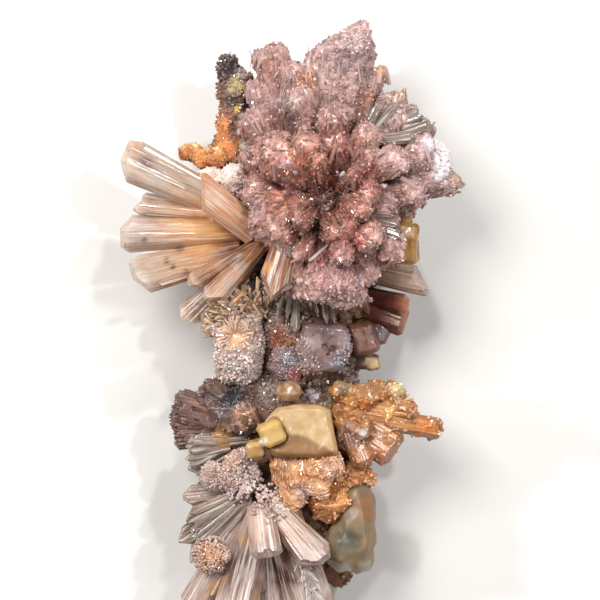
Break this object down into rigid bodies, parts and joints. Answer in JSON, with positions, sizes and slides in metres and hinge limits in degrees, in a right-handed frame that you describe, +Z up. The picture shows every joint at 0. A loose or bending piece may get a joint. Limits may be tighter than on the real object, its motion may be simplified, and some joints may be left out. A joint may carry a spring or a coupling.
{
  "type": "creedite crystal specimen",
  "caption": "Creedite hand specimen lying on its back: a mauve drusy rosette and sprays of clear to peach blades on fluorite and brown rock.",
  "frame": {"origin": "on the resting surface, under the middle of the specimen", "axes": "+Y along the specimen towards the end with the purple rosette, +X to the right as the crystal face is seen, +Z up out of the crystal face"},
  "size_m": [0.0684, 0.1227, 0.0363],
  "materials": {
    "brown_rock": "matte",
    "mauve_creedite": "satin",
    "peach_creedite": "gloss",
    "lilac_creedite": "gloss",
    "clear_creedite": "gloss",
    "smoky_creedite": "gloss",
    "maroon_creedite": "gloss",
    "sugary_druse": "satin",
    "amber_creedite": "gloss",
    "orange_creedite": "satin",
    "dark_fibres": "satin",
    "yellow_fluorite": "satin",
    "mauve_fluorite": "satin",
    "honey_fluorite": "gloss",
    "brown_fluorite": "gloss",
    "green_fluorite": "gloss",
    "iron_stain": "matte",
    "limonite": "matte",
    "white_powder": "matte"
  },
  "bodies": {
    "root": {"matrix_rock": "brown_rock", "purple_rosette": "mauve_creedite", "left_spray": "peach_creedite", "lower_spray": "lilac_creedite", "neck_prisms": "clear_creedite", "smoky_blade": "smoky_creedite", "maroon_blades": "maroon_creedite", "drusy_knob": "sugary_druse", "amber_cluster": "amber_creedite", "orange_tuft": "orange_creedite", "amber_crust": "orange_creedite", "dark_fibrous_mass": "dark_fibres", "yellow_fluorite": "yellow_fluorite", "small_yellow_cubes": "yellow_fluorite", "mauve_fluorite": "mauve_fluorite", "honey_fluorite": "honey_fluorite", "honey_ball": "honey_fluorite", "brown_fluorite": "brown_fluorite", "green_fluorite": "green_fluorite", "iron_finger": "iron_stain", "limonite_crust": "limonite", "white_crust": "white_powder"}
  },
  "joints": []
}
